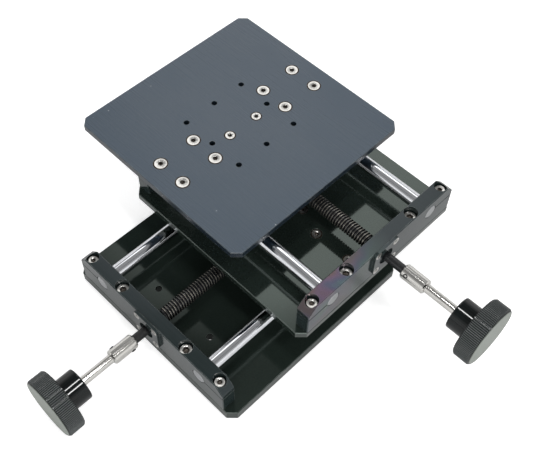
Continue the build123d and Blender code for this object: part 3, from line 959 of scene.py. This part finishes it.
@dataclass
class Drive:
    """One level's lead screw, coupling, rod and knob. Sizes are in millimetres."""

    level: str
    shop: Workshop
    pitch: float = 2.0
    crest: float = 5.0
    root: float = 3.85
    journal: float = 3.0
    shoulder: float = 4.2
    end_gap: float = 0.5
    seat: float = 6.0
    groove: float = 2.5
    groove_width: float = 0.82
    socket: float = 12.0
    hub: float = 10.75
    hub_length: float = 13.0
    hub_edge: float = 0.8
    disc_edge: float = 1.1
    rib_height: float = 0.75
    rib_count: int = 104
    fit: float = 0.02
    chamfer: float = 0.3
    wall: float = 5.0
    wall_chamfer: float = 0.7
    disc_chamfer: float = 0.4

    @property
    def line(self) -> Line:
        """The screw's line, from its joint."""
        joint = next(j for j in frame["joints"] if j["name"] == f"{self.level}_knob_turn")
        return Line(Vector(joint["pos_m"]), -Vector(joint["axis"]))

    def span(self, piece: str) -> tuple[float, float]:
        """Where one of the level's nodes starts and ends along the line, in millimetres."""
        first, last = self.line.reach(f"{self.level}_{piece}")
        return first / MM, last / MM

    def turn(self, piece: str, outline: Outline, sides: int = 96) -> None:
        """Put a turned piece in the place of a node.

        Args:
            piece: The node's name without the level.
            outline: Points (along, radius) in millimetres.
            sides: The number of points round it.
        """
        mesh = turned(outline, sides)
        mesh.transform(self.line.matrix())
        self.shop.stand_in(f"{self.level}_{piece}", mesh)

    def build(self) -> None:
        """Make every piece of the drive."""
        self.lead_screw()
        self.coupling()
        self.rod()
        self.knob()
        self.cap()

    def lead_screw(self) -> None:
        """Make the lead screw: a core with its journals, and the wound thread over it."""
        tip, stop = self.span("lead_screw")
        inner, outer = self.span("front_block")
        rear, _ = self.span("rear_bearing")
        thread_end = inner - self.end_gap
        front = outer - self.seat
        clip = rear - self.groove_width
        core = self.root - 0.05
        cut = self.chamfer
        outline = [(tip, 0), (tip, self.journal - cut), (tip + cut, self.journal), (clip, self.journal)]
        outline += [(clip, self.groove), (rear, self.groove), (rear, self.journal)]
        outline += [(rear + self.seat, self.journal), (rear + self.seat, self.shoulder), (-thread_end, self.shoulder)]
        outline += [(-thread_end, core), (thread_end, core), (thread_end, self.shoulder), (front, self.shoulder)]
        outline += [(front, self.journal), (stop - cut, self.journal), (stop, self.journal - cut), (stop, 0)]
        body = turned(outline, 72)
        values = {
            "Length": 2 * thread_end * MM,
            "Pitch": self.pitch * MM,
            "Crest": self.crest * MM,
            "Root": self.root * MM,
            "Around": 36,
            "Steps": 8,
            "Material": self.shop.finishes.made["black_steel"],
        }
        wound = self.shop.trees.grow(self.shop.trees.thread, bpy.data.meshes.new("empty"), values)
        wound.transform(Matrix.Translation((0, 0, -thread_end * MM)))
        mesh = joined([body, wound], f"{self.level}_lead_screw")
        mesh.transform(self.line.matrix())
        self.shop.stand_in(f"{self.level}_lead_screw", mesh)

    def coupling(self) -> None:
        """Make the coupling, chamfered outside and in its bore."""
        start, stop = self.span("coupling")
        bore, wall, cut, edge = self.journal + self.fit, self.wall, self.wall_chamfer, self.chamfer
        outline = [(start, bore + edge), (start, wall - cut), (start + cut, wall), (stop - cut, wall)]
        outline += [(stop, wall - cut), (stop, bore + edge), (stop - edge, bore), (start + edge, bore)]
        self.turn("coupling", outline)

    def rod(self) -> None:
        """Make the extension rod."""
        start, stop = self.span("rod")
        outline = [(start, 0), (start, self.journal), (stop, self.journal), (stop, 0)]
        self.turn("rod", outline, 72)

    def knob(self) -> None:
        """Make the knob: a turned hub and disc, with ribs round the disc."""
        back, front = self.span("knob")
        disc = half_height(f"{self.level}_knob")
        well = half_height(f"{self.level}_knob_cap") + self.fit
        floor, _ = self.span("knob_cap")
        step = back + self.hub_length
        valley = disc - self.rib_height
        bore = self.journal + self.fit
        hub, edge, cut = self.hub, self.hub_edge, self.disc_chamfer
        outline = [(back + self.socket, 0), (back + self.socket, bore), (back, bore), (back, hub - edge)]
        outline += [(back + 0.25 * edge, hub - 0.3 * edge), (back + edge, hub), (back + edge + 0.2, hub), (step, hub)]
        outline += [(step, valley - cut), (step + cut, valley), (front - cut, valley), (front, valley - cut)]
        outline += [(front, well), (floor, well), (floor, 0)]
        body = turned(outline, 128)
        rib = self.rib(disc, step, front)
        values = {
            "Rib": rib,
            "Radius": disc * MM,
            "Count": self.rib_count,
            "Material": self.shop.finishes.made["knob_black"],
        }
        ribs = self.shop.trees.grow(self.shop.trees.ribs, bpy.data.meshes.new("empty"), values)
        bpy.data.objects.remove(rib)
        mesh = joined([body, ribs], f"{self.level}_knob")
        mesh.transform(self.line.matrix())
        self.shop.stand_in(f"{self.level}_knob", mesh)

    def rib(self, disc: float, start: float, stop: float) -> bpy.types.Object:
        """Make one rib, whose crest is at the origin and which lies along z.

        Args:
            disc: The disc's radius over the ribs.
            start: Where the disc starts along the line.
            stop: Where it ends.

        Returns:
            The rib's object, to be removed after use.
        """
        half = math.pi * disc / self.rib_count
        root = self.rib_height + 0.15
        profile = [(-root, -half), (-0.12, -0.42 * half), (0, 0), (-0.12, 0.42 * half), (-root, half)]
        shape = bmesh.new()
        rings = []
        edge = self.disc_edge
        steps = [(start, edge), (start + edge, 0), (start + edge + 0.2, 0)]
        steps += [(stop - edge - 0.2, 0), (stop - edge, 0), (stop, edge)]
        for along, sunk in steps:
            rings.append([shape.verts.new((max(x - sunk, -root) * MM, y * MM, along * MM)) for x, y in profile])
        for low, high in zip(rings, rings[1:]):
            skin(shape, low, high)
        shape.faces.new(rings[0])
        shape.faces.new(rings[-1])
        mesh = finished_mesh(shape, "rib")
        # Painted highlight: the crest points are marked, so the knob's finish paints a pale line along each crest.
        mark_sunk(mesh, lambda corner: max(0.0, 1.0 + corner.x / (0.3 * MM)))
        return placed("rib", mesh)

    def cap(self) -> None:
        """Make the disc that closes the knob's front."""
        floor, top = self.span("knob_cap")
        radius = half_height(f"{self.level}_knob_cap")
        outline = [(floor, 0), (floor, radius), (top - 0.6, radius), (top - 0.4, radius)]
        outline += [(top - 0.12, radius - 0.12), (top, radius - 0.4), (top, radius - 0.6), (top, 0)]
        self.turn("knob_cap", outline, 128)


@dataclass
class Guides:
    """The two ground shafts of one level. Sizes are in millimetres."""

    drive: Drive
    chamfer: float = 0.6

    def build(self) -> None:
        """Put a smooth turned shaft in the place of each one in the frame."""
        for side in ("left", "right"):
            node = f"{self.drive.level}_{side}_shaft"
            low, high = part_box(node)
            middle = (low + high) / 2
            line = Line(middle, self.drive.line.direction)
            start, stop = (distance / MM for distance in line.reach(node))
            radius, cut = half_height(node), self.chamfer
            outline = [(start, 0), (start, radius - cut), (start + cut, radius)]
            outline += [(stop - cut, radius), (stop, radius - cut), (stop, 0)]
            mesh = turned(outline)
            ends = (start * MM, stop * MM)
            mark_sunk(mesh, lambda corner: 0.5 if min(abs(corner.z - end) for end in ends) < 0.01 * MM else 0.0)
            mesh.transform(line.matrix())
            self.drive.shop.stand_in(node, mesh)


@dataclass
class Fasteners:
    """Every screw on the stage that has a socket."""

    shop: Workshop
    drives: list[Drive]

    def build(self) -> None:
        """Make each row of screws."""
        up = Vector((0, 0, 1))
        seed = 3
        for drive in self.drives:
            level = drive.level
            rows = [
                (Screw(f"{level}_block_screws", Hold.CAP, 5.0, 8.5, 4.0, 5.0), up),
                (Screw(f"{level}_clamp_screws", Hold.CAP, 4.0, 7.0, 3.0, 4.0), up),
                (Screw(f"{level}_retainer_screws", Hold.FLUSH, 3.0, 5.5, 2.0, gap=0.15), drive.line.direction),
                (Screw(f"{level}_set_screws", Hold.GRUB, 3.0, 3.0, 1.5), None),
            ]
            for screw, outward in rows:
                screw.build(self.shop, outward, drive.line, seed)
                seed += 1
        for node, thread, head, key in (
            ("middle_plate_screws", 5.0, 8.0, 3.0),
            ("middle_nut_screws", 4.0, 8.0, 2.5),
            ("table_screws", 5.0, 10.0, 3.0),
            ("table_nut_screws", 4.0, 8.0, 2.5),
        ):
            Screw(node, Hold.FLUSH, thread, head, key).build(self.shop, up, None, seed)
            seed += 1


# Light and view


@dataclass
class Studio:
    """A pale floor, a white room with soft lights and the photograph's view."""

    position: Vector = field(default_factory=lambda: Vector((0.22694, -0.20816, 0.49705)))
    azimuth: float = 43.73
    elevation: float = 54.98
    roll: float = 1.59
    lens: float = 56.80
    horizon: float = 1.12
    zenith: float = 0.30
    seam_step: float = 0.11
    glow: float = 1.75
    glow_way: Vector = field(default_factory=lambda: Vector((-0.4665, 0.4665, 0.752)))
    floor_side: float = 3.0
    floor_glow: float = 0.55

    def build(self) -> None:
        """Make the floor, the lights and the camera."""
        self.floor()
        self.sky()
        self.panel("side_light", Vector((0.76, -0.76, 0.6)), Vector((0, 0, 1)), (0.7, 0.7), 4.0)
        self.panel("first_lamp", Vector((0.0, -0.03, 1.02)), Vector((1, 0, 0)), (0.11, 0.11), 1.2)
        self.panel("second_lamp", Vector((0.58, 0.0, 1.02)), Vector((1, 0, 0)), (0.14, 0.14), 2.0)
        self.camera()

    def floor(self) -> None:
        """Make the pale floor that the base rests on. Where it is seen, its shadows are faint."""
        mesh = bpy.data.meshes.new("floor")
        side = self.floor_side
        mesh.from_pydata([(-side, -side, 0), (side, -side, 0), (side, side, 0), (-side, side, 0)], [], [(0, 1, 2, 3)])
        floor = placed("floor", mesh)
        paper = bpy.data.materials.new("pale_paper")
        paper.use_nodes = True
        graph = Graph(paper.node_tree)
        shader = graph.tree.nodes["Principled BSDF"]
        seen = graph.add("ShaderNodeLightPath").outputs["Is Camera Ray"]
        glow = graph.math("MULTIPLY", seen, self.floor_glow)
        graph.feed(shader, {"Base Color": (0.93, 0.93, 0.93, 1.0), "Roughness": 0.9, "Specular IOR Level": 0.1})
        graph.feed(shader, {"Emission Color": (1.0, 1.0, 1.0, 1.0), "Emission Strength": glow})
        mesh.materials.append(paper)

    def sky(self) -> None:
        """Make the room: pale walls with thin dark seams, one soft glow above, and white where it is seen."""
        world = bpy.data.worlds.new("white_room")
        bpy.context.scene.world = world
        world.use_nodes = True
        graph = Graph(world.node_tree)
        graph.tree.nodes.clear()
        way = graph.add("ShaderNodeTexCoord").outputs["Generated"]
        height = graph.add("ShaderNodeSeparateXYZ", {0: way}).outputs["Z"]
        fall = graph.spread(height, 0.35, 0.70, self.horizon, self.zenith)
        seam = graph.math("PINGPONG", height, self.seam_step)
        walls = graph.math("MULTIPLY", fall, graph.spread(seam, 0.008, 0.016, 0.08, 1.0))
        near = graph.add("ShaderNodeVectorMath", {0: way, 1: self.glow_way}, operation="DOT_PRODUCT")
        glow = graph.spread(near.outputs["Value"], 0.966, 0.980, 0.0, self.glow)
        seen = graph.add("ShaderNodeLightPath").outputs["Is Camera Ray"]
        strength = graph.math("ADD", walls, glow)
        room = graph.add("ShaderNodeBackground", {"Color": (1, 1, 1, 1), "Strength": strength})
        white = graph.add("ShaderNodeBackground", {"Color": (1, 1, 1, 1), "Strength": 1.0})
        mix = graph.add("ShaderNodeMixShader", {0: seen, 1: room.outputs[0], 2: white.outputs[0]})
        graph.add("ShaderNodeOutputWorld", {0: mix.outputs[0]})
        bpy.context.scene.view_settings.view_transform = "Standard"

    def panel(self, name: str, place: Vector, along: Vector, size: tuple[float, float], power: float) -> None:
        """Hang a soft light that faces the stage.

        Args:
            name: The light's name.
            place: Where it hangs, in metres.
            along: Which way its first side runs.
            size: Its two sides.
            power: Its strength, in watts.
        """
        lamp = bpy.data.lights.new(name, "AREA")
        lamp.shape = "RECTANGLE"
        lamp.size, lamp.size_y = size
        lamp.energy = power
        away = (place - Vector((0, 0, 0.03))).normalized()
        side = (along - away * along.dot(away)).normalized()
        turn = Matrix((side, away.cross(side), away)).transposed()
        placed(name, lamp).matrix_world = Matrix.LocRotScale(place, turn, None)

    def camera(self) -> None:
        """Set the camera at the photograph's angle."""
        turn = math.radians(self.azimuth)
        tilt = math.radians(self.elevation)
        lean = math.radians(self.roll)
        back = Vector((math.sin(turn) * math.cos(tilt), -math.cos(turn) * math.cos(tilt), math.sin(tilt)))
        level = Vector((math.cos(turn), math.sin(turn), 0.0))
        rise = back.cross(level)
        right = level * math.cos(lean) + rise * math.sin(lean)
        up = rise * math.cos(lean) - level * math.sin(lean)
        data = bpy.data.cameras.new("view")
        data.lens = self.lens
        data.sensor_width = 36.0
        data.sensor_fit = "HORIZONTAL"
        data.clip_start = 0.01
        camera = placed("view", data)
        camera.matrix_world = Matrix.LocRotScale(self.position, Matrix((right, up, back)).transposed(), None)
        bpy.context.scene.camera = camera


def slots() -> dict[str, str]:
    """Read which slot each node of the frame takes.

    Returns:
        The slot's name, by the node's name.
    """
    return {part["node"]: part["material_slot"] for part in frame["record"]["subparts"]}


def main() -> None:
    """Dress the frame, build what the solids leave plain, and light it."""
    logging.basicConfig(level=logging.INFO, format="%(message)s")
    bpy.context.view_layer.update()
    finishes = Finishes()
    finishes.build()
    for name, slot in slots().items():
        finishes.dress(frame["nodes"][name], slot)
        log.info("dressed %s in %s", name, slot)
    shop = Workshop(finishes)
    drives = [Drive("lower", shop), Drive("upper", shop)]
    for drive in drives:
        drive.build()
        Guides(drive).build()
    Fasteners(shop, drives).build()
    Studio().build()


if __name__ == "__main__":
    main()
